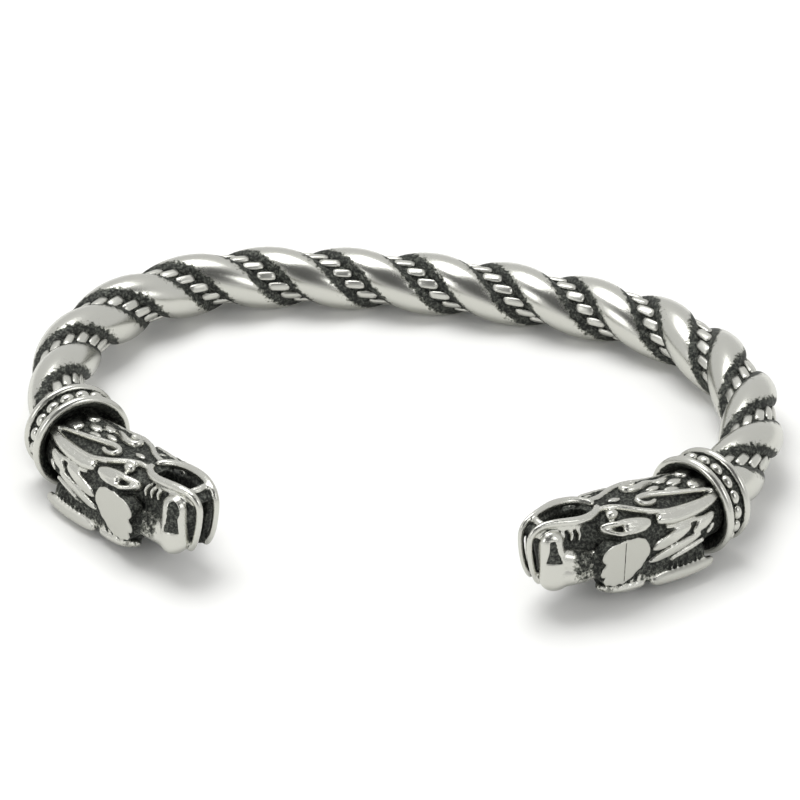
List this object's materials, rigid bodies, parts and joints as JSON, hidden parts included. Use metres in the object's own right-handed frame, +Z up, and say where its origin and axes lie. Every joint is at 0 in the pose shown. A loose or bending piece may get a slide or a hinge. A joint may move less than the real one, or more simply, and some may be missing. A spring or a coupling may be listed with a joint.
{
  "type": "viking arm ring",
  "caption": "Open twisted arm ring that ends in two dragon heads; beaded wires lie in the grooves of the rope and a pearled collar holds each head.",
  "frame": {"origin": "middle of the foot of the bounding box, on the surface that the ring lies on", "axes": "+X to the ring's right as seen from its opening, +Y from the opening to the middle of the back, +Z up as it lies"},
  "size_m": [0.0759, 0.0542, 0.0106],
  "materials": {
    "strand": "cast and polished steel with dark antiquing and small pits",
    "beaded_wire": "cast steel beads, bright on top and black between",
    "collar": "polished steel rims and pearls over a blackened groove",
    "head": "cast steel, polished high parts over near-black antiquing"
  },
  "bodies": {
    "root": {"strand_a": "strand", "strand_b": "strand", "beaded_wire_a": "beaded_wire", "beaded_wire_b": "beaded_wire", "collar_left": "collar", "collar_right": "collar", "head_left": "head", "head_right": "head"}
  },
  "joints": []
}
